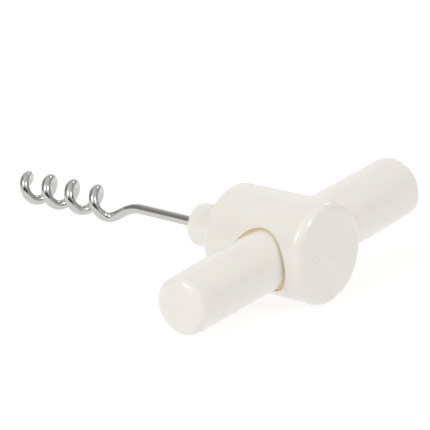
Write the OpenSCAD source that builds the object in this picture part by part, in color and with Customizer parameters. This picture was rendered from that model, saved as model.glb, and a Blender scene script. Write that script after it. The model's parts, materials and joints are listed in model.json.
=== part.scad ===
// Lever corkscrew: a drum-shaped hub with a wire worm, and a two-arm crossbar that slides through the hub.
// The hub axis is X and its flat face is at x = 0. The crossbar axis crosses it, leaned over as the
// corkscrew lies at rest, on the hub's side and the end of its thin arm.

/* [Hub] */
// Outer radius of the hub drum at its flat face
hub_r = 12.9; // [12.8:0.1:14]
// Outer radius of the hub drum at its worm end
hub_end_r = 12.5; // [12.4:0.1:12.8]
// Length of the hub drum along its axis
hub_len = 30; // [29:0.1:32]
// Distance from the hub's flat face to the crossbar axis
bar_set_back = 12.1; // [11.9:0.1:12.5]
// Thickness of the shell's side at the flat face
shell_wall = 2.4; // [2.2:0.1:2.4]
// Thickness of the hub's flat face
face_wall = 1.8; // [1.6:0.1:2]
// Edge radius at the flat face
face_round = 2.4; // [1.2:0.1:2.4]
// Radius of the nose that the worm comes out of
nose_r = 5.45; // [5.2:0.05:6]
// Length of the nose
nose_len = 11.4; // [10:0.1:16]

/* [Crossbar] */
// Radius of the thin arm
thin_r = 7.45; // [7.4:0.05:7.5]
// Radius of the thin arm's outer end
thin_end_r = 7.28; // [7.1:0.01:7.4]
// Distance from the hub axis to the thin arm's end
thin_reach = 42.5; // [40:0.1:46]
// Radius of the thick arm where it meets the thin one
thick_r = 8.1; // [8:0.02:8.14]
// Radius of the thick arm's outer end
thick_end_r = 7.9; // [7.7:0.01:8]
// Distance from the hub axis to the thick arm's end
thick_reach = 42.8; // [40:0.1:46]
// Edge radius at both arm ends
end_round = 1.8; // [1.5:0.1:3]
// Travel of the crossbar through the hub
bar_travel = 22; // [12:0.5:22]

/* [Worm] */
// Radius of the worm's wire
wire_r = 1.25; // [1.1:0.05:1.3]
// Radius of the coil, to the middle of the wire
coil_r = 3.1; // [2.8:0.1:3.6]
// Mean distance from one turn to the next
coil_pitch = 7.86; // [7.2:0.02:9]
// Number of turns
coil_turns = 3.69; // [3:0.01:4]
// Straight shank between the nose and the bend
shank_len = 18.9; // [16:0.1:24]

/* [Fits] */
// Radial clearance between the thin arm and what guides it
guide_gap = 0.05; // [0.03:0.01:0.1]
// Radial gap between pieces that are fixed together
seat_gap = 0.03; // [0.02:0.01:0.05]

/* [Hidden] */
$fn = 64;
over = 0.5;                 // how far a cutter runs past the face that it cuts

// Hub, along X with the crossbar axis at x = 0
face_x = bar_set_back;
drum_x = face_x - hub_len;
nose_x = drum_x - nose_len;
drum_edge_round = 1.8;
nose_round = 1.8;
cavity_r = hub_r - shell_wall;
cavity_x = face_x - face_wall;
core_r = cavity_r - seat_gap;
core_end_gap = 0.1;
core_x = cavity_x - core_end_gap;

// Guides for the thin arm: the near one lines the hole up to the drum's side, the far one ends in the core
bush_r = 8.12;
bush_bore_r = thin_r + guide_gap;
bush_set_back = 0.5;        // how far the near guide's end lies inside the drum's smaller radius
bush_inner_end = 1.6;
far_bush_end = 5.8;

// Holes for the arms: the near one holds its guide, the far one clears the thick arm
near_hole_r = bush_r + seat_gap;
thick_arm_gap = 0.3;
far_hole_r = thick_r + thick_arm_gap;
ring_wire_r = (bush_r - bush_bore_r) / 2;
ring_mid_r = bush_bore_r + ring_wire_r;
ring_place = 0.8;

// Snap ring between the shell and the core
snap_set_back = 3.6;
snap_x = drum_x + snap_set_back;
snap_width = 1;
snap_depth = 0.6;
snap_split = 3;

// Stop pin, beside the nose, and its groove along the thin arm
pin_r = 1;
pin_place = -7.6;
pin_tip_x = -6.2;
groove_floor = 5.9;
groove_side_gap = 0.1;

// Crossbar, along Y
shoulder_y = 5.85;
washer_thick = 0.8;
joint_y = shoulder_y + washer_thick;
thin_taper_y = -28;
spigot_r = 4.9;
spigot_len = 5;
thin_bore_r = 4.05;
thin_bore_end = -26;
thick_bore_r = 5.05;
thick_end_wall = 3;
thick_bore_end = thick_reach - thick_end_wall;
rod_r = 2.5;
rod_ends = [-25.5, 19];
thin_insert_ends = [-20, -8];
spigot_end_gap = 0.3;
thick_insert_ends = [joint_y + spigot_len + spigot_end_gap, 17.5];

// Worm: coil, bend and shank, from the point to the hub
shank_growth = 0.02;
shank_r = wire_r + shank_growth;
collar_r = 3;
collar_ends = [-14.4, -9.4];
worm_head_r = 1.7;
worm_head_x = -9;
shank_x = nose_x - shank_len;
bend_len = 11.8;
coil_end_x = shank_x - bend_len;
coil_len = coil_pitch * coil_turns;
coil_tip_x = coil_end_x - coil_len;
coil_end_angle = 216;
pitch_drift = 0.0033;       // how much the turns open out towards the hub, per mm
tip_sag = 1.1;              // how far the coil's axis lies below the hub axis, at each of its ends
root_sag = 0.7;
point_len = 3.6;            // length of the sharpened point along X
point_curl = 0.74;           // coil radius at the point, as a share of coil_r
point_r = 0.15;             // wire radius at the point, as a share of wire_r
bend_leave = 5.4;
bend_arrive = 6.2;
wire_sides = 10;
coil_steps = 84;
bend_steps = 12;

// Lean at which the hub's side and the thin arm's end touch the same flat surface
end_ring_r = thin_end_r - end_round;
end_ring_y = thin_reach - end_round;
lean = asin((hub_r - end_round) / norm([end_ring_r, end_ring_y])) - atan(end_ring_r / end_ring_y);

// ---- Helpers ----

// Puts a piece drawn about the crossing of the two axes into the part's own frame
module placed() {
    rotate([lean, 0, 0]) translate([-face_x, 0, 0]) children();
}

// Turns a profile of [radius, distance] about the X axis, or about the Y axis
module turned_x() { rotate([0, 90, 0]) rotate_extrude() children(); }
module turned_y() { rotate([-90, 0, 0]) rotate_extrude() children(); }

module rod_x(r, x0, x1) { translate([x0, 0, 0]) rotate([0, 90, 0]) cylinder(r = r, h = x1 - x0); }
module rod_y(r, y0, y1) { translate([0, y0, 0]) rotate([-90, 0, 0]) cylinder(r = r, h = y1 - y0); }

// What a rounded edge of radius f takes off a corner at [r, h] that points along +h (side 1) or -h (side -1)
module edge_cut(r, h, f, side) {
    translate([r - f, h - side * f]) mirror([0, side < 0 ? 1 : 0]) difference() {
        square(f + over);
        circle(r = f);
    }
}

// Solid profile between two distances, with its own radius and edge rounding at each end
module barrel_profile(r0, r1, h0, h1, f0, f1) {
    difference() {
        polygon([[0, h0], [r0, h0], [r1, h1], [0, h1]]);
        edge_cut(r0, h0, f0, -1);
        edge_cut(r1, h1, f1, 1);
    }
}

// Arm profile from its inner end to its rounded outer end, tapering over the last stretch
module arm_profile(h0, taper_h, h1, r0, r1) {
    difference() {
        polygon([[0, h0], [r0, h0], [r0, taper_h], [r1, h1], [0, h1]]);
        edge_cut(r1, h1, end_round, h1 > h0 ? 1 : -1);
    }
}

// ---- Hub ----

module snap_groove(r_in, r_out) {
    difference() {
        rod_x(r_out, snap_x, snap_x + snap_width);
        rod_x(r_in, snap_x - over, snap_x + snap_width + over);
    }
}

module hub_shell() {
    color("ivory") placed() difference() {
        turned_x() barrel_profile(hub_end_r, hub_r, drum_x, face_x, drum_edge_round, face_round);
        rod_x(cavity_r, drum_x - over, cavity_x);
        snap_groove(cavity_r - over, cavity_r + snap_depth);
        rod_y(near_hole_r, -hub_r - over, 0);
        rod_y(far_hole_r, 0, hub_r + over);
    }
}

module hub_core() {
    color("ivory") placed() difference() {
        union() {
            rod_x(core_r, drum_x, core_x);
            turned_x() barrel_profile(nose_r, nose_r, nose_x, core_x, nose_round, nose_round);
        }
        rod_y(near_hole_r, -hub_r, hub_r);
        rod_y(far_hole_r, far_bush_end, hub_r);
        rod_x(shank_r + seat_gap, nose_x - over, 0);
        rod_x(collar_r + seat_gap, collar_ends[0], 0);
        snap_groove(core_r - snap_depth, core_r + over);
        translate([0, pin_place, 0]) rod_x(pin_r + seat_gap, drum_x - over, 0);
    }
}

module snap_ring() {
    color("silver") placed() difference() {
        snap_groove(core_r - snap_depth + seat_gap, cavity_r + snap_depth - seat_gap);
        translate([snap_x - over, -snap_split / 2, 0]) cube([snap_width + 2 * over, snap_split, hub_r]);
    }
}

module guide_bush(y0, y1) {
    difference() {
        rod_y(bush_r, y0, y1);
        rod_y(bush_bore_r, y0 - over, y1 + over);
    }
}

// Its outer end follows the drum, and the stop pin passes through its side
module near_guide_bush() {
    color("tan") placed() difference() {
        intersection() {
            guide_bush(-hub_r, -bush_inner_end);
            rod_x(hub_end_r - bush_set_back, drum_x, face_x);
        }
        translate([0, pin_place, 0]) rod_x(pin_r + seat_gap, -hub_r, 0);
    }
}

module far_guide_bush() { color("tan") placed() guide_bush(bush_inner_end, far_bush_end); }

module friction_ring(y) {
    translate([0, y, 0]) turned_y() translate([ring_mid_r, 0]) circle(r = ring_wire_r);
}

module near_friction_ring() { color("dimgray") placed() friction_ring(-ring_place); }
module far_friction_ring() { color("dimgray") placed() friction_ring(ring_place); }

module stop_pin() {
    color("silver") placed() translate([0, pin_place, 0]) rod_x(pin_r, drum_x, pin_tip_x);
}

// ---- Worm ----

// Phase of the coil in degrees, counted back from its end; the turns open out towards the hub
function coil_phase(x) =
    let (back = coil_end_x - x)
    coil_end_angle - 360 / coil_pitch * back * (1 + pitch_drift * (back - coil_len));

function coil_sag(x) =
    tip_sag + (root_sag - tip_sag) * (x - coil_tip_x) / (coil_end_x - coil_tip_x);

function sharpness(x) = min(1, (x - coil_tip_x) / point_len);

function coil_point(x) =
    let (r = coil_r * (point_curl + (1 - point_curl) * sin(90 * sharpness(x))), a = coil_phase(x))
    [x, r * cos(a), r * sin(a) - coil_sag(x)];

function wire_radius(x) = wire_r * (point_r + (1 - point_r) * sqrt(sharpness(x)));

function unit(v) = v / norm(v);

function bezier(p, u) =
    p[0] * pow(1 - u, 3) + 3 * p[1] * u * pow(1 - u, 2) + 3 * p[2] * u * u * (1 - u) + p[3] * pow(u, 3);

coil_end = coil_point(coil_end_x);
coil_leave = unit(coil_end - coil_point(coil_end_x - 0.01));
bend_points = [coil_end, coil_end + bend_leave * coil_leave, [shank_x - bend_arrive, 0, 0], [shank_x, 0, 0]];

coil_path = [for (i = [0 : coil_steps]) coil_point(coil_tip_x + (coil_end_x - coil_tip_x) * i / coil_steps)];
bend_path = [for (i = [1 : bend_steps]) bezier(bend_points, i / bend_steps)];
worm_path = concat(coil_path, bend_path, [[shank_x + 1, 0, 0]]);

// Direction of the path at each point, and a normal that follows it without twisting
function path_way(path, i) = unit(path[min(i + 1, len(path) - 1)] - path[max(i - 1, 0)]);
function square_to(n, way) = unit(n - (n * way) * way);

module swept_wire(path) {
    last = len(path) - 1;
    ways = [for (i = [0 : last]) path_way(path, i)];
    normals = [for (i = 0, n = square_to([0, 0, 1], ways[0]); i <= last;
                    i = i + 1, n = i <= last ? square_to(n, ways[i]) : n) n];
    points = [for (i = [0 : last]) for (k = [0 : wire_sides - 1])
        let (a = 360 * k / wire_sides, side = cross(ways[i], normals[i]))
        path[i] + wire_radius(path[i][0]) * (cos(a) * normals[i] + sin(a) * side)];
    walls = [for (i = [0 : last - 1]) for (k = [0 : wire_sides - 1])
        let (k2 = (k + 1) % wire_sides, row = i * wire_sides, next = row + wire_sides)
        [row + k, next + k, next + k2, row + k2]];
    caps = [[for (k = [0 : wire_sides - 1]) k],
            [for (k = [wire_sides - 1 : -1 : 0]) last * wire_sides + k]];
    polyhedron(points, concat(walls, caps));
}

module worm() {
    color("silver") placed() union() {
        swept_wire(worm_path);
        rod_x(shank_r, shank_x, worm_head_x);
        rod_x(worm_head_r, collar_ends[1] + seat_gap, worm_head_x);
    }
}

module worm_collar() {
    color("gray") placed() difference() {
        rod_x(collar_r, collar_ends[0] + seat_gap, collar_ends[1]);
        rod_x(shank_r + seat_gap, collar_ends[0] - over, collar_ends[1] + over);
    }
}

// ---- Crossbar ----

module stop_groove() {
    width = 2 * (pin_r + groove_side_gap);
    near = pin_place - bar_travel - pin_r - groove_side_gap;
    far = pin_place + pin_r + groove_side_gap;
    translate([-thin_r - over, near, -width / 2]) cube([thin_r + over - groove_floor, far - near, width]);
}

module thin_arm() {
    color("ivory") placed() difference() {
        union() {
            turned_y() arm_profile(joint_y, thin_taper_y, -thin_reach, thin_r, thin_end_r);
            rod_y(spigot_r, 0, joint_y + spigot_len);
        }
        rod_y(thin_bore_r, thin_bore_end, joint_y + spigot_len + over);
        stop_groove();
    }
}

module thick_arm() {
    color("ivory") placed() difference() {
        turned_y() arm_profile(joint_y, joint_y, thick_reach, thick_r, thick_end_r);
        rod_y(thick_bore_r, joint_y - over, thick_bore_end);
    }
}

module tie_rod() { color("gray") placed() rod_y(rod_r, rod_ends[0], rod_ends[1]); }

module insert(r, ends) {
    difference() {
        rod_y(r, ends[0], ends[1]);
        rod_y(rod_r + seat_gap, ends[0] - over, ends[1] + over);
    }
}

module thin_arm_insert() { color("goldenrod") placed() insert(thin_bore_r - seat_gap, thin_insert_ends); }
module thick_arm_insert() { color("goldenrod") placed() insert(thick_bore_r - seat_gap, thick_insert_ends); }

module shoulder_washer() {
    color("dimgray") placed() difference() {
        rod_y(thick_r - seat_gap, shoulder_y, joint_y);
        rod_y(thin_r + seat_gap, shoulder_y - over, joint_y + over);
    }
}

hub_shell();
hub_core();
snap_ring();
near_guide_bush();
far_guide_bush();
near_friction_ring();
far_friction_ring();
stop_pin();
worm();
worm_collar();
thin_arm();
thick_arm();
tie_rod();
thin_arm_insert();
thick_arm_insert();
shoulder_washer();
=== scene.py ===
import json
from math import asin, atan2, cos, hypot, pi, radians, sin, sqrt, tau

import bmesh
import bpy
from mathutils import Matrix, Vector

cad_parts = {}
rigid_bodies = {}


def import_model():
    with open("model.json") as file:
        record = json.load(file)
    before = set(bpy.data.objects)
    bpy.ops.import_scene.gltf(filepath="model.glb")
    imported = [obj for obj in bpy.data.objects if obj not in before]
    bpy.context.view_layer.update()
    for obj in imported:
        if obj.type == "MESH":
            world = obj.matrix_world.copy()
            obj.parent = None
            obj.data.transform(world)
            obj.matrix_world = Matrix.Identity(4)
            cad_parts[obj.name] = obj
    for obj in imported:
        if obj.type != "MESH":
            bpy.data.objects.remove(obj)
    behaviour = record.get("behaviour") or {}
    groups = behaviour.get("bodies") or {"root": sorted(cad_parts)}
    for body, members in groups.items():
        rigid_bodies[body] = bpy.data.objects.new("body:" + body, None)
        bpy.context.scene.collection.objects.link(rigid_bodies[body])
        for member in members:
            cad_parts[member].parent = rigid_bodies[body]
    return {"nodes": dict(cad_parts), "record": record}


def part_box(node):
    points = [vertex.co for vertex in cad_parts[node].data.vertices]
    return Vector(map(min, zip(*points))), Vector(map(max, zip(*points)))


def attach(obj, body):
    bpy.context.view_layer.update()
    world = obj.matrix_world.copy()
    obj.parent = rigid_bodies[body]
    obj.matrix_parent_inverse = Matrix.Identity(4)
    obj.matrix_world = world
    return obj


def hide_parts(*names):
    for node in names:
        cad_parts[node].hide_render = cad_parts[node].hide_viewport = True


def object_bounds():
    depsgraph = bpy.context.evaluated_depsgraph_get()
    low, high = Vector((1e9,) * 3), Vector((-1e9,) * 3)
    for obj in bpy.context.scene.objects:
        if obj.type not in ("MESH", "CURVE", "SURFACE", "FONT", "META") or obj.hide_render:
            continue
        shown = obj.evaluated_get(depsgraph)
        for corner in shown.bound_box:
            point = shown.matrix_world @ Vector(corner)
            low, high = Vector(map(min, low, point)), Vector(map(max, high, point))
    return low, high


# Blender's own start-up cube, lamp and camera go first
for spare in list(bpy.data.objects):
    bpy.data.objects.remove(spare)
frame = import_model()
cad_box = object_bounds()

# ---- Driving dimensions, in mm, about the crossing of the hub axis (X) and the crossbar axis (Y) ----
# A name that ends in _R is a radius, and one that ends in _X or _Y is a place along that axis

MM = 0.001
SLIDE_AXIS = frame["record"]["behaviour"]["joints"][0]["axis"]
LEAN = atan2(SLIDE_AXIS[2], SLIDE_AXIS[1])

SET_BACK = 12.1
HUB_LEN = -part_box("hub_shell")[0][0] / MM
FACE_X = SET_BACK
DRUM_X = FACE_X - HUB_LEN
HUB_R = 12.9
HUB_END_R = 12.5
FACE_ROUND = 2.4
DRUM_EDGE_ROUND = 1.8
CAVITY_R = 10.5
CAVITY_X = FACE_X - 1.8
CAVITY_MOUTH = 0.08
SNAP_X = (DRUM_X + 3.6, DRUM_X + 4.6)
SNAP_DEPTH = 0.6
NEAR_HOLE_R = 8.15
FAR_HOLE_R = 8.4
RIM_ROUND = 0.25

NOSE_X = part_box("hub_core")[0][0] / MM + SET_BACK
NOSE_R = 5.45
NOSE_ROUND = 1.8
NOSE_FILLET = 0.5
CORE_R = 10.47
CORE_EDGE_ROUND = 0.3
CORE_X = CAVITY_X - 0.1
FAR_RECESS_Y = 5.8
BUSH_R = 8.12
BUSH_BORE_R = 7.5
BUSH_INNER_Y = -1.6
BUSH_SADDLE_R = HUB_END_R - 0.5
BUSH_EDGE = 0.12
SHANK_BORE_R = 1.3
SHANK_BORE_EDGE = 0.25
POCKET_R = 3.03
POCKET_X = (-14.4, -6.0)
PIN_Y = -7.6
PIN_BORE_R = 1.03
PIN_BORE_END_X = -2.0

JOINT_Y = 6.65
JOINT_EDGE = 0.2
END_ROUND = 1.8
THIN_R = 7.45
THIN_END_R = 7.28
THIN_END_Y = -42.5
THIN_TAPER_Y = -28.0
THIN_BORE_R = 4.05
THIN_BORE_Y = -26.0
SPIGOT_R = 4.9
SPIGOT_Y = JOINT_Y + 5.0
SPIGOT_EDGE = 0.4
GROOVE_Y = (-30.7, -6.5)
GROOVE_FLOOR = 5.9
GROOVE_HALF = 1.1
GROOVE_EDGE = 0.12
GROOVE_FLOOR_ROUND = 0.15
GROOVE_ANGLE = asin((GROOVE_HALF + GROOVE_EDGE) / THIN_R)
THICK_R = 8.1
THICK_END_R = 7.9
THICK_END_Y = 42.8
THICK_EDGE_ROUND = 0.3
THICK_BORE_R = 5.05
THICK_BORE_Y = THICK_END_Y - 3.0

WIRE_R = 1.25
SHANK_R = 1.27
SHANK_X = NOSE_X - 18.9
HEAD_R = 1.7
HEAD_X = (-9.37, -9.0)
HEAD_EDGE = 0.1
COIL_R = 3.1
COIL_PITCH = 7.86
COIL_LEN = COIL_PITCH * 3.69
COIL_END_X = SHANK_X - 11.8
COIL_TIP_X = COIL_END_X - COIL_LEN
COIL_END_ANGLE = radians(216)
PITCH_DRIFT = 0.0033
TIP_SAG = 1.1
ROOT_SAG = 0.7
POINT_LEN = 3.6
POINT_CURL = 0.74
POINT_R = 0.08
BEND_LEAVE = 5.4
BEND_ARRIVE = 6.2

PLACE = (Matrix.Rotation(LEAN, 4, "X") @ Matrix.Scale(MM, 4)
         @ Matrix.Translation((-SET_BACK, 0, 0)))


# ---- Mesh helpers ----

WELD = 2e-6
SLIVER = 1e-7
SHARP_ANGLE = 38
WIRE_SHARP_ANGLE = 50


def steps(first, last, count):
    """Evenly spaced numbers from first to last, with count gaps."""
    return [first + (last - first) * i / count for i in range(count + 1)]


def grid_faces(rows, columns):
    """Quads between rows of points; the last column joins the first."""
    faces = []
    for i in range(rows - 1):
        for j in range(columns):
            k = (j + 1) % columns
            here, above = i * columns, (i + 1) * columns
            faces.append((here + j, here + k, above + k, above + j))
    return faces


def make_mesh(name, points, faces):
    """Welds the points in mm into one closed, smooth mesh in the part's own frame."""
    mesh = bpy.data.meshes.new(name)
    mesh.from_pydata([PLACE @ Vector(p) for p in points], [], faces)
    work = bmesh.new()
    work.from_mesh(mesh)
    bmesh.ops.remove_doubles(work, verts=work.verts, dist=WELD)
    bmesh.ops.dissolve_degenerate(work, edges=work.edges, dist=SLIVER)
    bmesh.ops.delete(work, geom=[v for v in work.verts if not v.link_faces], context="VERTS")
    bmesh.ops.recalc_face_normals(work, faces=work.faces)
    work.to_mesh(mesh)
    work.free()
    mesh.shade_smooth()
    mesh.set_sharp_from_angle(angle=radians(SHARP_ANGLE))
    return mesh


def add_piece(name, mesh, body, material, slot, *nodes):
    """Puts a mesh in the scene on its body, in place of its CAD nodes."""
    piece = bpy.data.objects.new(name, mesh)
    bpy.context.scene.collection.objects.link(piece)
    mesh.materials.clear()
    mesh.materials.append(material)
    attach(piece, body)
    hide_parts(*nodes)


def arc_profile(centre_h, centre_r, radius, start, end, count):
    """Points (distance, radius) on a rounded edge; 0 degrees points outwards, 90 along +distance."""
    return [(centre_h + radius * sin(radians(a)), centre_r + radius * cos(radians(a)))
            for a in steps(start, end, count)]


def split_long(profile, longest):
    """Adds points to a profile so that no stretch is longer than given."""
    almost_one = 0.999
    fine = [profile[0]]
    for (h0, r0), (h1, r1) in zip(profile, profile[1:]):
        stretch = max(abs(h1 - h0), abs(r1 - r0))
        count = max(1, int(stretch / longest + almost_one))
        fine += [(h0 + (h1 - h0) * i / count, r0 + (r1 - r0) * i / count)
                 for i in range(1, count + 1)]
    return fine


def on_x(h, r, angle):
    """A point at distance h along the hub axis; angle 0 faces the thin arm."""
    return (h, -r * cos(angle), r * sin(angle))


def on_y(h, r, angle):
    """A point at distance h along the crossbar axis; angle 0 faces the flat face."""
    return (r * cos(angle), h, r * sin(angle))


def on_pin(h, r, angle):
    """A point at distance h along the stop pin's axis, which runs beside the hub axis."""
    return (h, PIN_Y + r * cos(angle), r * sin(angle))


def turned(profile, place, sides):
    """Points and faces of a profile of (distance, radius) turned about an axis."""
    points = [place(h, max(r, 0), tau * j / sides) for h, r in profile for j in range(sides)]
    return points, grid_faces(len(profile), sides)


# Moulding marks on the flat face: (y, z, reach, depth), all of them inside MARKED_R
FACE_MARKS = ((-5.3, 0.7, 0.75, 0.22), (0.2, -1.4, 0.8, 0.12))
MARKED_R = 7
END_MARK_REACH = 0.9
END_MARK_DEPTH = 0.12

# A mark's dish, as a share of its depth, and its ring's middle and half width, as shares of its reach
DISH_SHARE = 0.5
RING_MIDDLE = 1.15
RING_HALF = 0.3


def gate_mark(r, reach, depth):
    """Depth of a moulding mark at radius r: a shallow dish inside a fine ring-shaped groove."""
    dish = DISH_SHARE * depth * max(0.0, 1 - (r / reach) ** 2)
    groove = depth * max(0.0, 1 - abs(r / reach - RING_MIDDLE) / RING_HALF)
    return dish + groove


def on_face(h, r, angle):
    """A point of the flat face, sunk where a moulding mark lies."""
    x, y, z = on_x(h, r, angle)
    sunk = sum(gate_mark(hypot(y - mark_y, z - mark_z), reach, depth)
               for mark_y, mark_z, reach, depth in FACE_MARKS)
    return (x - sunk, y, z)


def end_disc(end, rim_r, inward):
    """Profile of a flat end from its centre out to rim_r, with the moulding mark at its middle."""
    marked_r = 1.5 * END_MARK_REACH
    radii = steps(0, marked_r, 14) + steps(marked_r, rim_r, 9)[1:]
    return [(end + inward * gate_mark(r, END_MARK_REACH, END_MARK_DEPTH), r) for r in radii]


# ---- Hub shell: a drum with a round hole through it, and the cavity inside ----

SIDES = 160
CORE_SIDES = 144
PIN_HOLE_SIDES = 40
FINE_STRETCH = 0.6
WINDOW_SIDES = 28
WINDOW_END_X = -10.0
WINDOW_X = steps(FACE_X - FACE_ROUND, WINDOW_END_X, 40)
RING_CROWDING = 1.5


def shell_radius(x):
    """The drum's outer radius, which tapers to its worm end."""
    return HUB_END_R + (HUB_R - HUB_END_R) * (x - DRUM_X) / HUB_LEN


def in_window(j):
    """Whether side j of the drum lies in front of one of the two arm holes."""
    return min(j % (SIDES // 2), SIDES // 2 - 1 - j % (SIDES // 2)) < WINDOW_SIDES


def drum_band(profile, windows=False):
    """Rows of quads round the hub axis; with windows, the quads at the arm holes are left out."""
    points, faces = turned(profile, on_x, SIDES)
    if windows:
        faces = [f for f in faces if not in_window(f[0] % SIDES)]
    return points, faces


def window_edge():
    """The window's outline as (x, angle, direction seen from the hole's axis)."""
    half = tau * WINDOW_SIDES / SIDES
    angles = steps(-half, half, 2 * WINDOW_SIDES)
    outline = [(WINDOW_X[0], a) for a in angles[:-1]]
    outline += [(x, half) for x in WINDOW_X[:-1]]
    outline += [(WINDOW_X[-1], a) for a in reversed(angles[1:])]
    outline += [(x, -half) for x in reversed(WINDOW_X[1:])]
    return [(x, a, atan2(shell_radius(x) * sin(a), x)) for x, a in outline]


def window_patch(radius, hole_r, half_turn, rings=18):
    """Rings on the drum from a round hole out to the window's edge, closer together at the hole."""
    points = []
    for i in range(rings + 1):
        share = (i / rings) ** RING_CROWDING
        for x, angle, way in window_edge():
            hole_x = hole_r * cos(way)
            hole_angle = asin(hole_r * sin(way) / radius(hole_x))
            px = hole_x + (x - hole_x) * share
            pa = hole_angle + (angle - hole_angle) * share
            points.append(on_x(px, radius(px), pa + half_turn))
    return points, grid_faces(rings + 1, len(window_edge()))


def hole_wall(side, hole_r):
    """The rounded rim of an arm hole and its straight wall down to the cavity."""
    rows = []
    for beta in steps(0, 90, 8):
        reach = hole_r + RIM_ROUND * (1 - sin(radians(beta)))
        drop = RIM_ROUND * (1 - cos(radians(beta)))
        rows.append([(reach, drop, 0.0, way) for _, _, way in window_edge()])
    for share in steps(0, 1, 6)[1:]:
        rows.append([(hole_r, RIM_ROUND, share, way) for _, _, way in window_edge()])
    points = []
    for row in rows:
        for reach, drop, share, way in row:
            x = reach * cos(way)
            z = reach * sin(way)
            outer = sqrt(shell_radius(x) ** 2 - z * z) - drop
            inner = sqrt(CAVITY_R ** 2 - z * z)
            y = outer + (inner - outer) * share
            points.append((x, -y, z) if side < 0 else (x, y, -z))
    return points, grid_faces(len(rows), len(window_edge()))


def join(parts):
    """Several (points, faces) pairs as one."""
    points, faces = [], []
    for more_points, more_faces in parts:
        base = len(points)
        points += more_points
        faces += [tuple(base + k for k in f) for f in more_faces]
    return points, faces


def shell_mesh():
    """The closed drum: flat face, rounded edges, snap ring groove, cavity and both arm holes."""
    window_start = WINDOW_X[0]
    face_rim = shell_radius(window_start) - FACE_ROUND
    face = [(FACE_X, r) for r in steps(0, MARKED_R, 40) + steps(MARKED_R, face_rim, 6)[1:]]
    face += arc_profile(window_start, face_rim, FACE_ROUND, 90, 0, 16)[1:]
    edge_x = DRUM_X + DRUM_EDGE_ROUND
    end_band = [(WINDOW_END_X, shell_radius(WINDOW_END_X)), (edge_x, HUB_END_R)]
    end_band = split_long(end_band, FINE_STRETCH)
    end_band += arc_profile(edge_x, HUB_END_R - DRUM_EDGE_ROUND, DRUM_EDGE_ROUND, 0, -90, 12)[1:]
    end_band += [(DRUM_X, CAVITY_R + CAVITY_MOUTH), (DRUM_X + CAVITY_MOUTH, CAVITY_R)]
    end_band += [(SNAP_X[0], CAVITY_R), (SNAP_X[0], CAVITY_R + SNAP_DEPTH),
                 (SNAP_X[1], CAVITY_R + SNAP_DEPTH), (SNAP_X[1], CAVITY_R), (WINDOW_END_X, CAVITY_R)]
    floor = [(window_start, CAVITY_R), (CAVITY_X, CAVITY_R), (CAVITY_X, CAVITY_R / 2), (CAVITY_X, 0)]
    parts = [turned(face, on_face, SIDES), drum_band(end_band), drum_band(floor)]
    parts.append(drum_band([(x, shell_radius(x)) for x in WINDOW_X], windows=True))
    parts.append(drum_band([(x, CAVITY_R) for x in WINDOW_X], windows=True))
    for half_turn, side, hole_r in ((0, -1, NEAR_HOLE_R), (pi, 1, FAR_HOLE_R)):
        parts.append(window_patch(shell_radius, hole_r + RIM_ROUND, half_turn))
        parts.append(window_patch(lambda x: CAVITY_R, hole_r, half_turn, 8))
        parts.append(hole_wall(side, hole_r))
    return make_mesh("hub_shell_skin", *join(parts))


# ---- Hub core: the inner plug with the nose, cut by the tunnel for the crossbar ----

def cut_away(mesh, cutters):
    """Takes closed cutter meshes off a mesh and returns the result."""
    holder = bpy.data.objects.new("work", mesh)
    bpy.context.scene.collection.objects.link(holder)
    tools = []
    for cutter in cutters:
        tool = bpy.data.objects.new("cutter", cutter)
        bpy.context.scene.collection.objects.link(tool)
        cut = holder.modifiers.new("cut", "BOOLEAN")
        cut.object = tool
        cut.operation = "DIFFERENCE"
        cut.solver = "EXACT"
        tools.append(tool)
    bpy.context.view_layer.update()
    finished = holder.evaluated_get(bpy.context.evaluated_depsgraph_get())
    result = bpy.data.meshes.new_from_object(finished)
    for spare in tools + [holder]:
        bpy.data.objects.remove(spare)
    result.shade_smooth()
    result.set_sharp_from_angle(angle=radians(SHARP_ANGLE))
    return result


def pin_hole_mesh(start_x):
    """A closed cutter for the stop pin's hole, from start_x into the tunnel."""
    profile = [(start_x, 0), (start_x, PIN_BORE_R), (PIN_BORE_END_X, PIN_BORE_R), (PIN_BORE_END_X, 0)]
    return make_mesh("pin_hole", *turned(profile, on_pin, PIN_HOLE_SIDES))


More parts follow.
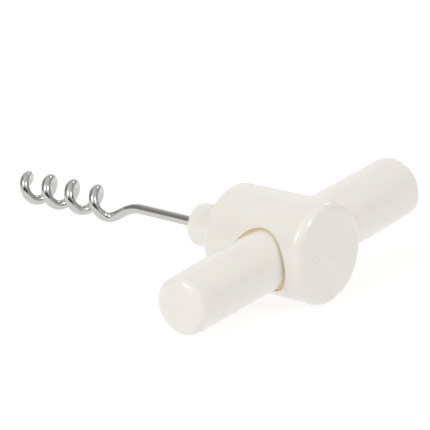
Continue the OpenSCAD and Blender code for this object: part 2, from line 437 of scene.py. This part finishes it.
def core_mesh():
    """The plug: pocket for the worm's collar, bore for its shank, nose, and snap ring groove."""
    outline = [(POCKET_X[1], 0), (POCKET_X[1], POCKET_R),
               (POCKET_X[0], POCKET_R), (POCKET_X[0], SHANK_BORE_R),
               (NOSE_X + SHANK_BORE_EDGE, SHANK_BORE_R), (NOSE_X, SHANK_BORE_R + SHANK_BORE_EDGE)]
    outline += arc_profile(NOSE_X + NOSE_ROUND, NOSE_R - NOSE_ROUND, NOSE_ROUND, -90, 0, 14)
    outline += split_long([outline[-1], (DRUM_X - NOSE_FILLET, NOSE_R)], FINE_STRETCH)[1:]
    outline += [(DRUM_X - NOSE_FILLET * (1 - sin(radians(a))),
                 NOSE_R + NOSE_FILLET * (1 - cos(radians(a)))) for a in steps(0, 90, 6)][1:]
    outline += arc_profile(DRUM_X + CORE_EDGE_ROUND, CORE_R - CORE_EDGE_ROUND, CORE_EDGE_ROUND,
                           -90, 0, 5)
    outline += [(SNAP_X[0], CORE_R), (SNAP_X[0], CORE_R - SNAP_DEPTH),
                (SNAP_X[1], CORE_R - SNAP_DEPTH), (SNAP_X[1], CORE_R)]
    outline += [(CORE_X, CORE_R), (CORE_X, 0)]
    plug = make_mesh("hub_core_plug", *turned(outline, on_x, CORE_SIDES))
    wide = CORE_R + 2
    tunnel = [(-wide, 0), (-wide, NEAR_HOLE_R),
              (FAR_RECESS_Y, NEAR_HOLE_R), (FAR_RECESS_Y, FAR_HOLE_R),
              (wide, FAR_HOLE_R), (wide, 0)]
    tunnel = make_mesh("tunnel", *turned(tunnel, on_y, SIDES))
    return cut_away(plug, [tunnel, pin_hole_mesh(DRUM_X - 1)])


# ---- Near guide bush: a sleeve whose outer end follows the drum ----

def bush_ring(r, y=None, drop=0.0):
    """One ring of the sleeve, at y; without a y it lies on the drum-shaped outer end, less drop."""
    ring = []
    for angle in steps(0, tau, SIDES)[:-1]:
        z = r * sin(angle)
        drum_y = -sqrt((BUSH_SADDLE_R - drop) ** 2 - z * z)
        ring.append((r * cos(angle), drum_y if y is None else y, z))
    return ring


def bush_mesh():
    """The sleeve with rounded edges, and the stop pin's hole through its wall."""
    edge = BUSH_EDGE
    middle = BUSH_EDGE / 3
    rings = [bush_ring(BUSH_BORE_R + edge, BUSH_INNER_Y),
             bush_ring(BUSH_R - edge, BUSH_INNER_Y),
             bush_ring(BUSH_R, BUSH_INNER_Y - edge),
             bush_ring(BUSH_R, drop=edge),
             bush_ring(BUSH_R - middle, drop=middle),
             bush_ring(BUSH_R - edge),
             bush_ring(BUSH_BORE_R + edge),
             bush_ring(BUSH_BORE_R + middle, drop=middle),
             bush_ring(BUSH_BORE_R, drop=edge),
             bush_ring(BUSH_BORE_R, BUSH_INNER_Y - edge),
             bush_ring(BUSH_BORE_R + edge, BUSH_INNER_Y)]
    points = [p for ring in rings for p in ring]
    sleeve = make_mesh("near_bush_sleeve", points, grid_faces(len(rings), SIDES))
    return cut_away(sleeve, [pin_hole_mesh(-HUB_R)])


# ---- Crossbar arms ----

# Sides of the thin arm outside its groove, and points from the groove's edge to its middle
ARM_SIDES = 132
GROOVE_POINTS = 7

# Where the middle of a small rounded edge lies, as a share of the edge's size
ROUND_SHARE = 0.3

# The longest stretch between two rings of each surface
THIN_STRETCH = 0.8
THICK_STRETCH = 1
BORE_STRETCH = 4


def groove_half_section(r):
    """The stop groove's section from its edge to its middle, as (x, z)."""
    lip = sqrt(r * r - GROOVE_HALF ** 2)
    edge_middle = ROUND_SHARE * GROOVE_EDGE
    floor_middle = ROUND_SHARE * GROOVE_FLOOR_ROUND
    return [(-r * cos(GROOVE_ANGLE), r * sin(GROOVE_ANGLE)),
            (-lip + edge_middle, GROOVE_HALF + edge_middle),
            (-lip + GROOVE_EDGE, GROOVE_HALF),
            (-GROOVE_FLOOR - GROOVE_FLOOR_ROUND, GROOVE_HALF),
            (-GROOVE_FLOOR - floor_middle, GROOVE_HALF - floor_middle),
            (-GROOVE_FLOOR, GROOVE_HALF - GROOVE_FLOOR_ROUND),
            (-GROOVE_FLOOR, 0.0)]


def thin_arm_ring(y, r, grooved):
    """One ring of the thin arm; a grooved ring dips into the stop groove on its worm side."""
    last = GROOVE_POINTS - 1
    angles = steps(GROOVE_ANGLE - pi, pi - GROOVE_ANGLE, ARM_SIDES)
    ring = [(r * cos(a), y, r * sin(a)) for a in angles]
    if grooved:
        half = groove_half_section(r)
        ring += [(x, y, z) for x, z in half[1:]]
        ring += [(x, y, -z) for x, z in reversed(half[1:-1])]
    else:
        span = steps(pi - GROOVE_ANGLE, pi + GROOVE_ANGLE, 2 * last)[1:-1]
        ring += [(r * cos(a), y, r * sin(a)) for a in span]
    return ring


def thin_arm_mesh():
    """The thin arm, from its rounded end to the spigot that fits into the thick arm."""
    taper = (THIN_R - THIN_END_R) / (THIN_TAPER_Y - THIN_END_Y)

    def arm_radius(y):
        return THIN_R - taper * max(0.0, THIN_TAPER_Y - y)

    rim = THIN_END_R - END_ROUND
    plain = end_disc(THIN_END_Y, rim, 1)
    plain += arc_profile(THIN_END_Y + END_ROUND, rim, END_ROUND, -90, 0, 14)[1:]
    plain += [(y, arm_radius(y)) for y in steps(THIN_END_Y + END_ROUND, GROOVE_Y[0], 12)[1:]]
    rows = [(y, r, False) for y, r in plain]
    rows += [(y, arm_radius(y), True) for y in steps(*GROOVE_Y, 30)]
    back = split_long([(GROOVE_Y[1], THIN_R), (JOINT_Y - JOINT_EDGE, THIN_R)], THIN_STRETCH)
    back += [(JOINT_Y, THIN_R - JOINT_EDGE), (JOINT_Y, SPIGOT_R),
             (SPIGOT_Y - SPIGOT_EDGE, SPIGOT_R), (SPIGOT_Y, SPIGOT_R - SPIGOT_EDGE),
             (SPIGOT_Y, THIN_BORE_R)]
    back += split_long([(SPIGOT_Y, THIN_BORE_R), (THIN_BORE_Y, THIN_BORE_R)], BORE_STRETCH)[1:]
    back += [(THIN_BORE_Y, 0.0)]
    rows += [(y, r, False) for y, r in back]
    rings = [thin_arm_ring(*row) for row in rows]
    points = [p for ring in rings for p in ring]
    return make_mesh("thin_arm_skin", points, grid_faces(len(rings), len(rings[0])))


def thick_arm_mesh():
    """The thick arm, from its rounded end to its shoulder and the bore for the spigot."""
    rim = THICK_END_R - END_ROUND
    shoulder_y = JOINT_Y + THICK_EDGE_ROUND
    bore_y = JOINT_Y + JOINT_EDGE
    profile = end_disc(THICK_END_Y, rim, -1)
    profile += arc_profile(THICK_END_Y - END_ROUND, rim, END_ROUND, 90, 0, 14)[1:]
    profile += split_long([(THICK_END_Y - END_ROUND, THICK_END_R), (shoulder_y, THICK_R)],
                          THICK_STRETCH)[1:]
    profile += arc_profile(shoulder_y, THICK_R - THICK_EDGE_ROUND, THICK_EDGE_ROUND, 0, -90, 5)[1:]
    profile += [(JOINT_Y, THICK_BORE_R + JOINT_EDGE), (bore_y, THICK_BORE_R)]
    profile += split_long([(bore_y, THICK_BORE_R), (THICK_BORE_Y, THICK_BORE_R)], BORE_STRETCH)[1:]
    profile += [(THICK_BORE_Y, 0.0)]
    return make_mesh("thick_arm_skin", *turned(profile, on_y, SIDES))


# ---- Worm ----

WIRE_SIDES = 36
POINT_CROWDING = 1.6
TANGENT_STEP = 0.01
SHANK_LEAD = 0.4


def coil_phase(x):
    """Angle of the coil at x; its pitch drifts a little along its length, as the real one's does."""
    back = COIL_END_X - x
    return COIL_END_ANGLE - tau / COIL_PITCH * back * (1 + PITCH_DRIFT * (back - COIL_LEN))


def coil_point(x):
    """Middle of the wire in the coil, which hangs a little under the hub axis."""
    share = (x - COIL_TIP_X) / (COIL_END_X - COIL_TIP_X)
    sag = TIP_SAG + (ROOT_SAG - TIP_SAG) * share
    sharp = min(1.0, (x - COIL_TIP_X) / POINT_LEN)
    r = COIL_R * (POINT_CURL + (1 - POINT_CURL) * sin(pi / 2 * sharp))
    return Vector((x, r * cos(coil_phase(x)), r * sin(coil_phase(x)) - sag))


def wire_radius(x):
    """The wire's radius in the coil, which thins to the point."""
    sharp = max(0.0, min(1.0, (x - COIL_TIP_X) / POINT_LEN))
    return WIRE_R * (POINT_R + (1 - POINT_R) * sqrt(sharp))


def bezier(p, u):
    """The point at share u of a cubic Bezier curve with the four control points p."""
    v = 1 - u
    return p[0] * v ** 3 + 3 * p[1] * u * v ** 2 + 3 * p[2] * u * u * v + p[3] * u ** 3


def worm_path():
    """Middle of the wire from the point to the rivet head, each with the wire's radius there."""
    near_tip = [COIL_TIP_X + POINT_LEN * (i / 24) ** POINT_CROWDING for i in range(24)]
    coil = near_tip + steps(COIL_TIP_X + POINT_LEN, COIL_END_X, 190)
    path = [(coil_point(x), wire_radius(x)) for x in coil]
    end = coil_point(COIL_END_X)
    leave = (end - coil_point(COIL_END_X - TANGENT_STEP)).normalized()
    shank = Vector((SHANK_X, 0, 0))
    corners = [end, end + BEND_LEAVE * leave, shank - Vector((BEND_ARRIVE, 0, 0)), shank]
    path += [(bezier(corners, u), WIRE_R) for u in steps(0, 1, 48)[1:]]
    path += [(Vector((x, 0, 0)), SHANK_R) for x in steps(SHANK_X + SHANK_LEAD, HEAD_X[0], 40)]
    head = [(HEAD_X[0], HEAD_R - HEAD_EDGE), (HEAD_X[0] + HEAD_EDGE, HEAD_R),
            (HEAD_X[1] - HEAD_EDGE, HEAD_R), (HEAD_X[1], HEAD_R - HEAD_EDGE)]
    return path + [(Vector((x, 0, 0)), r) for x, r in head]


def worm_mesh():
    """Sweeps the wire along its path without twist, with a map of millimetres round and along it."""
    sides = WIRE_SIDES
    path = worm_path()
    points, along = [], [0.0]
    normal = Vector((0, 0, 1))
    for i, (centre, r) in enumerate(path):
        before = path[max(i - 1, 0)][0]
        after = path[min(i + 1, len(path) - 1)][0]
        way = (after - before).normalized()
        normal = (normal - normal.dot(way) * way).normalized()
        side = way.cross(normal)
        points += [tuple(centre + r * (cos(a) * normal + sin(a) * side))
                   for a in steps(0, tau, sides)[:-1]]
        if i:
            along.append(along[-1] + (centre - before).length)
    last = len(path) - 1
    faces = grid_faces(last + 1, sides)
    points += [tuple(path[0][0]), tuple(path[last][0])]
    tip, head = len(points) - 2, len(points) - 1
    faces += [((j + 1) % sides, j, tip) for j in range(sides)]
    faces += [(last * sides + j, last * sides + (j + 1) % sides, head) for j in range(sides)]
    mesh = bpy.data.meshes.new("worm_skin")
    mesh.from_pydata([PLACE @ Vector(p) for p in points], [], faces)
    wire_map = mesh.uv_layers.new(name="wire")
    for polygon in mesh.polygons:
        wraps = any(mesh.loops[k].vertex_index % sides == sides - 1 for k in polygon.loop_indices)
        for k in polygon.loop_indices:
            vertex = mesh.loops[k].vertex_index
            column = vertex % sides
            row = min(vertex // sides, last)
            if wraps and column == 0:
                column = sides
            wire_map.data[k].uv = (tau * WIRE_R * column / sides, along[row])
    mesh.shade_smooth()
    mesh.set_sharp_from_angle(angle=radians(WIRE_SHARP_ANGLE))
    return mesh


# ---- Materials ----

# The plastic's patterns: scales per mm, squashes along the three axes, shares of the second pattern in
# a mix, and bumps as (strength, depth)
CLOUD_SCALE = 0.09
FLOW_SCALE = 0.35
FLOW_SQUASH = (0.35, 1, 1)
POLISH_SCALE = 0.6
SCRATCH_SCALE = 1.0
SCRATCH_SQUASH = (7.0, 0.5, 7.0)
PEEL_SCALE = 1.3
FLOW_SHARE = 0.35
SCUFF_SHARE = 0.5
PEEL_BUMP = (0.06, 0.04 * MM)
SCRATCH_BUMP = (0.05, 0.02 * MM)
PLASTIC_IOR = 1.53
GLOW_RADIUS = (1.0, 0.85, 0.7)
GLOW_REACH = 1.8 * MM

BLOOM_SCALE = 0.8
GRAIN_SCALE = 9.0
GRAIN_BUMP = (0.25, 0.03 * MM)

# Streaks lie along V of the wire's own map, and along X on the other metal pieces
WIRE_STRETCH = (9.0, 0.22, 1.0)
LATHE_STRETCH = (0.3, 8.0, 8.0)
SPOT_SCALE = 2.2
SPOT_SHARE = 0.5
STREAK_BUMP = (0.06, 0.02 * MM)


def shader_nodes(name):
    """A new material with its node tree and its shader."""
    material = bpy.data.materials.new(name)
    material.use_nodes = True
    tree = material.node_tree
    return material, tree, tree.nodes["Principled BSDF"]


def grey(level):
    return (level, level, level)


def link(tree, output, target):
    tree.links.new(output, target)


def coordinates(tree, scale, squash=(1, 1, 1)):
    """Object coordinates in mm times scale, turned so that X and Y run along the two axes."""
    source = tree.nodes.new("ShaderNodeTexCoord")
    mapping = tree.nodes.new("ShaderNodeMapping")
    mapping.vector_type = "TEXTURE"
    mapping.inputs["Rotation"].default_value = (LEAN, 0, 0)
    mapping.inputs["Scale"].default_value = [MM / (scale * s) for s in squash]
    link(tree, source.outputs["Object"], mapping.inputs["Vector"])
    return mapping.outputs["Vector"]


def noise(tree, vector, detail=3.0, roughness=0.5, distortion=0.0):
    """A noise pattern, whose scale is that of its coordinates."""
    node = tree.nodes.new("ShaderNodeTexNoise")
    node.inputs["Scale"].default_value = 1.0
    node.inputs["Detail"].default_value = detail
    node.inputs["Roughness"].default_value = roughness
    node.inputs["Distortion"].default_value = distortion
    link(tree, vector, node.inputs["Vector"])
    return node.outputs["Fac"]


def ramp(tree, factor, *stops):
    """A colour ramp with stops of (place, colour); a bare number is a grey."""
    node = tree.nodes.new("ShaderNodeValToRGB")
    elements = node.color_ramp.elements
    while len(elements) < len(stops):
        elements.new(0.5)
    for element, (place, colour) in zip(elements, stops):
        element.position = place
        if not isinstance(colour, tuple):
            colour = grey(colour)
        element.color = (*colour, 1)
    link(tree, factor, node.inputs["Fac"])
    return node.outputs["Color"]


# The colour sockets of a mix node come after those of its other data types
MIX_FACTOR, MIX_A, MIX_B, MIX_RESULT = 0, 6, 7, 2


def blend(tree, factor, first, second):
    """Mixes two colours; each input may be a socket or a constant."""
    node = tree.nodes.new("ShaderNodeMix")
    node.data_type = "RGBA"
    for index, value in ((MIX_FACTOR, factor), (MIX_A, first), (MIX_B, second)):
        socket = node.inputs[index]
        if isinstance(value, bpy.types.NodeSocket):
            link(tree, value, socket)
        elif isinstance(value, tuple):
            socket.default_value = (*value, 1)
        else:
            socket.default_value = value
    return node.outputs[MIX_RESULT]


def bump(tree, shader, height, strength, distance, under=None):
    """Gives the shader a bump, on top of the one under it where there is one."""
    node = tree.nodes.new("ShaderNodeBump")
    node.inputs["Strength"].default_value = strength
    node.inputs["Distance"].default_value = distance
    link(tree, height, node.inputs["Height"])
    if under is not None:
        link(tree, under, node.inputs["Normal"])
    link(tree, node.outputs["Normal"], shader.inputs["Normal"])
    return node.outputs["Normal"]


def moulded_plastic(name, light, dark, low, high, glow, lit=0.0):
    """Glossy moulded plastic: faint clouding, an uneven polish, an orange-peel skin and fine scuffs.

    light and dark are its two tones, low and high its least and most roughness, and glow its
    subsurface weight. lit is the strength of a painted glow: an emission in the plastic's own tone
    that lightens its shaded places.
    """
    material, tree, shader = shader_nodes(name)
    cloud = noise(tree, coordinates(tree, CLOUD_SCALE), detail=2)
    flow = noise(tree, coordinates(tree, FLOW_SCALE, FLOW_SQUASH), detail=4, roughness=0.6)
    tone = blend(tree, FLOW_SHARE,
                 ramp(tree, cloud, (0.35, dark), (0.65, light)),
                 ramp(tree, flow, (0.3, dark), (0.6, light)))
    link(tree, tone, shader.inputs["Base Color"])
    polish = noise(tree, coordinates(tree, POLISH_SCALE), detail=5, roughness=0.65)
    scratch = noise(tree, coordinates(tree, SCRATCH_SCALE, SCRATCH_SQUASH), detail=3, distortion=0.3)
    rough = blend(tree, SCUFF_SHARE,
                  ramp(tree, polish, (0.3, low), (0.75, high)),
                  ramp(tree, scratch, (0.45, low), (0.72, high)))
    link(tree, rough, shader.inputs["Roughness"])
    peel = bump(tree, shader, noise(tree, coordinates(tree, PEEL_SCALE), detail=2), *PEEL_BUMP)
    scuffs = ramp(tree, scratch, (0.55, 0.0), (0.75, 1.0))
    bump(tree, shader, scuffs, *SCRATCH_BUMP, under=peel)
    shader.inputs["IOR"].default_value = PLASTIC_IOR
    # Painted glow: emission in the plastic's own tone at strength lit, which lightens its shaded
    # places where lit is above zero
    link(tree, tone, shader.inputs["Emission Color"])
    shader.inputs["Emission Strength"].default_value = lit
    shader.inputs["Subsurface Weight"].default_value = glow
    shader.inputs["Subsurface Radius"].default_value = GLOW_RADIUS
    shader.inputs["Subsurface Scale"].default_value = GLOW_REACH
    return material


def rubber(name):
    """Dark rubber with a dusty bloom and a fine grain."""
    material, tree, shader = shader_nodes(name)
    bloom = noise(tree, coordinates(tree, BLOOM_SCALE), detail=5, roughness=0.7)
    tone = ramp(tree, bloom, (0.3, (0.012, 0.012, 0.013)), (0.8, (0.05, 0.048, 0.045)))
    link(tree, tone, shader.inputs["Base Color"])
    link(tree, ramp(tree, bloom, (0.2, 0.55), (0.8, 0.8)), shader.inputs["Roughness"])
    grain = noise(tree, coordinates(tree, GRAIN_SCALE))
    bump(tree, shader, grain, *GRAIN_BUMP)
    return material


def metal(name, light, dark, low, high, wire=False):
    """Polished metal with drawn streaks: along the wire where it has a wire map, else along X.

    light and dark are its two tones, and low and high its least and most roughness.
    """
    material, tree, shader = shader_nodes(name)
    if wire:
        source = tree.nodes.new("ShaderNodeUVMap")
        source.uv_map = "wire"
        vector = source.outputs["UV"]
    else:
        vector = coordinates(tree, 1.0)
    stretch = tree.nodes.new("ShaderNodeMapping")
    stretch.inputs["Scale"].default_value = WIRE_STRETCH if wire else LATHE_STRETCH
    link(tree, vector, stretch.inputs["Vector"])
    streaks = noise(tree, stretch.outputs["Vector"], detail=5, roughness=0.6)
    spots = noise(tree, coordinates(tree, SPOT_SCALE), detail=4, roughness=0.7)
    tone = blend(tree, SPOT_SHARE,
                 ramp(tree, streaks, (0.3, dark), (0.62, light)),
                 ramp(tree, spots, (0.32, dark), (0.6, light)))
    link(tree, tone, shader.inputs["Base Color"])
    rough = blend(tree, SPOT_SHARE,
                  ramp(tree, streaks, (0.3, low), (0.7, high)),
                  ramp(tree, spots, (0.4, low), (0.75, high)))
    link(tree, rough, shader.inputs["Roughness"])
    bump(tree, shader, streaks, *STREAK_BUMP)
    shader.inputs["Metallic"].default_value = 1.0
    return material


# ---- Build ----

def dress(node, material):
    """Gives a carried-over CAD node its material."""
    mesh = frame["nodes"][node].data
    mesh.materials.clear()
    mesh.materials.append(material)


def build_object():
    """Every piece of the part, with its material."""
    ivory = moulded_plastic("ivory_gloss", (0.832, 0.806, 0.752), (0.812, 0.785, 0.729),
                            0.03, 0.09, glow=0.3)
    core_ivory = moulded_plastic("ivory_core", (0.83, 0.805, 0.75), (0.81, 0.783, 0.725),
                                 0.12, 0.24, glow=0.3)
    # The guide bushes' tan is painted warm shade for the gap round the thin arm, and lit=0.55 adds a
    # painted glow there
    tan_shade_glow = moulded_plastic("tan_guide_painted_shade_glow", (0.56, 0.45, 0.27), (0.47, 0.35, 0.19),
                          0.3, 0.5, glow=0.6, lit=0.55)
    black = rubber("black_rubber")
    wire = metal("polished_wire", (0.62, 0.61, 0.59), (0.52, 0.51, 0.495), 0.035, 0.1, wire=True)
    spring = metal("spring_steel", (0.5, 0.5, 0.5), (0.32, 0.32, 0.33), 0.22, 0.4)
    bright = metal("turned_steel", (0.66, 0.65, 0.63), (0.5, 0.49, 0.47), 0.15, 0.3)
    brass = metal("turned_brass", (0.78, 0.56, 0.22), (0.6, 0.41, 0.14), 0.16, 0.34)
    add_piece("shell", shell_mesh(), "hub", ivory, "ivory_plastic", "hub_shell")
    add_piece("core", core_mesh(), "hub", core_ivory, "ivory_core_plastic", "hub_core")
    add_piece("thin_handle", thin_arm_mesh(), "crossbar", ivory, "ivory_plastic", "thin_arm")
    add_piece("thick_handle", thick_arm_mesh(), "crossbar", ivory, "ivory_plastic", "thick_arm")
    add_piece("wire_worm", worm_mesh(), "hub", wire, "polished_steel", "worm")
    # Both guide bushes carry the tan material's painted shade and painted glow
    add_piece("near_bush", bush_mesh(), "hub", tan_shade_glow, "tan_plastic", "near_guide_bush")
    dress("far_guide_bush", tan_shade_glow)
    for node in ("near_friction_ring", "far_friction_ring", "shoulder_washer"):
        dress(node, black)
    for node in ("stop_pin", "tie_rod", "worm_collar"):
        dress(node, bright)
    dress("snap_ring", spring)
    for node in ("thin_arm_insert", "thick_arm_insert"):
        dress(node, brass)


# ---- Stage: floor, light and camera ----

FLOOR_REACH = 3.0
FLOOR_GREY = 0.3
FLOOR_ROUGHNESS = 0.9
FLOOR_LIGHT = 0.73
WORLD_GREY = 0.72
CARD_FADE = (0.75, 1.25)

# Azimuth, elevation, half width and half height in degrees, and brightness
CARDS = (
    (-50, 1, 54, 26, 0.09),
    (-158, 28, 38, 30, 0.3),
    (130, 68, 40, 22, 0.45),
    (60, 22, 34, 24, 0.5),
    (142, 18, 22, 18, 1.0),
    (0, 90, 34, 34, 0.8),
    (-100, 40, 20, 34, 1.05),
)

# Name, azimuth and elevation in degrees, size and distance in metres, and radiance
LAMPS = (
    ("left_softbox", -99, 41, (0.74, 0.5), 1.3, 2.3),
    ("left_core", -97, 41, (0.26, 0.24), 1.2, 9.5),
    ("right_softbox", 0, 40, (0.74, 0.46), 1.3, 0.9),
    ("right_core", 0, 42, (0.26, 0.24), 1.2, 7.5),
    ("back_lamp", 92, 39, (0.24, 0.24), 1.3, 3.2),
)

# The camera's lens and sensor in mm, its three directions, and its place in metres
CAMERA_LENS = 304.82
CAMERA_SENSOR = 36.0
CAMERA_CLIP = (0.01, 20)
CAMERA_RIGHT = (0.76892, 0.63934, 0.00356)
CAMERA_UP = (-0.18262, 0.21429, 0.95955)
CAMERA_BACK = (0.61272, -0.73846, 0.28153)
CAMERA_PLACE = (0.51467, -0.66381, 0.25616)


def add_floor():
    """A wide white floor under the object, lit partly by itself, so that shadows stay faint."""
    reach = FLOOR_REACH
    low = cad_box[0][2]
    corners = [(-reach, -reach, low), (reach, -reach, low), (reach, reach, low), (-reach, reach, low)]
    mesh = bpy.data.meshes.new("floor")
    mesh.from_pydata(corners, [], [(0, 1, 2, 3)])
    material, _, shader = shader_nodes("pale_floor")
    shader.inputs["Base Color"].default_value = (*grey(FLOOR_GREY), 1)
    shader.inputs["Roughness"].default_value = FLOOR_ROUGHNESS
    shader.inputs["Emission Color"].default_value = (1, 1, 1, 1)
    shader.inputs["Emission Strength"].default_value = FLOOR_LIGHT
    mesh.materials.append(material)
    floor = bpy.data.objects.new("floor", mesh)
    bpy.context.scene.collection.objects.link(floor)


def add_card(tree, direction, below, azimuth, elevation, width, height, radiance):
    """Mixes a soft-edged oval of its own brightness into the surroundings; sizes are half angles."""
    turn = tree.nodes.new("ShaderNodeMapping")
    turn.vector_type = "TEXTURE"
    turn.inputs["Rotation"].default_value = (0, -radians(elevation), radians(azimuth))
    turn.inputs["Scale"].default_value = (1, sin(radians(width)), sin(radians(height)))
    link(tree, direction, turn.inputs["Vector"])
    split = tree.nodes.new("ShaderNodeSeparateXYZ")
    link(tree, turn.outputs["Vector"], split.inputs["Vector"])
    flat = tree.nodes.new("ShaderNodeCombineXYZ")
    link(tree, split.outputs["Y"], flat.inputs["X"])
    link(tree, split.outputs["Z"], flat.inputs["Y"])
    reach = tree.nodes.new("ShaderNodeVectorMath")
    reach.operation = "LENGTH"
    link(tree, flat.outputs["Vector"], reach.inputs[0])
    fade = tree.nodes.new("ShaderNodeMapRange")
    fade.interpolation_type = "SMOOTHSTEP"
    fade.inputs["From Min"].default_value = CARD_FADE[0]
    fade.inputs["From Max"].default_value = CARD_FADE[1]
    fade.inputs["To Min"].default_value = 1.0
    fade.inputs["To Max"].default_value = 0.0
    link(tree, reach.outputs["Value"], fade.inputs["Value"])
    front = tree.nodes.new("ShaderNodeMath")
    front.operation = "GREATER_THAN"
    front.inputs[1].default_value = 0.0
    link(tree, split.outputs["X"], front.inputs[0])
    mask = tree.nodes.new("ShaderNodeMath")
    mask.operation = "MULTIPLY"
    link(tree, fade.outputs["Result"], mask.inputs[0])
    link(tree, front.outputs["Value"], mask.inputs[1])
    return blend(tree, mask.outputs["Value"], below, grey(radiance))


def add_world():
    """Grey studio surroundings: dim on the camera's side, with darker and paler cards round it."""
    world = bpy.data.worlds.new("studio")
    bpy.context.scene.world = world
    world.use_nodes = True
    tree = world.node_tree
    background = tree.nodes["Background"]
    direction = tree.nodes.new("ShaderNodeTexCoord").outputs["Generated"]
    colour = grey(WORLD_GREY)
    for card in CARDS:
        colour = add_card(tree, direction, colour, *card)
    link(tree, colour, background.inputs["Color"])
    background.inputs["Strength"].default_value = 1.0


def add_lamp(name, azimuth, elevation, size, distance, radiance):
    """A flat lamp facing the object, at the given angles as seen from it."""
    flat = cos(radians(elevation))
    way = Vector((flat * cos(radians(azimuth)), flat * sin(radians(azimuth)), sin(radians(elevation))))
    light = bpy.data.lights.new(name, "AREA")
    light.shape = "RECTANGLE"
    light.size, light.size_y = size
    light.energy = radiance * pi * size[0] * size[1]
    lamp = bpy.data.objects.new(name, light)
    bpy.context.scene.collection.objects.link(lamp)
    lamp.location = distance * way
    lamp.rotation_euler = (-way).to_track_quat("-Z", "Y").to_euler()


def add_camera():
    """The camera at the photograph's viewing angle."""
    data = bpy.data.cameras.new("camera")
    data.lens = CAMERA_LENS
    data.sensor_width = CAMERA_SENSOR
    data.clip_start, data.clip_end = CAMERA_CLIP
    camera = bpy.data.objects.new("camera", data)
    columns = (CAMERA_RIGHT, CAMERA_UP, CAMERA_BACK, CAMERA_PLACE)
    camera.matrix_world = Matrix((*zip(*columns), (0, 0, 0, 1)))
    bpy.context.scene.collection.objects.link(camera)
    bpy.context.scene.camera = camera


build_object()
add_floor()
add_world()
for lamp_values in LAMPS:
    add_lamp(*lamp_values)
add_camera()
bpy.context.scene.view_settings.view_transform = "Standard"
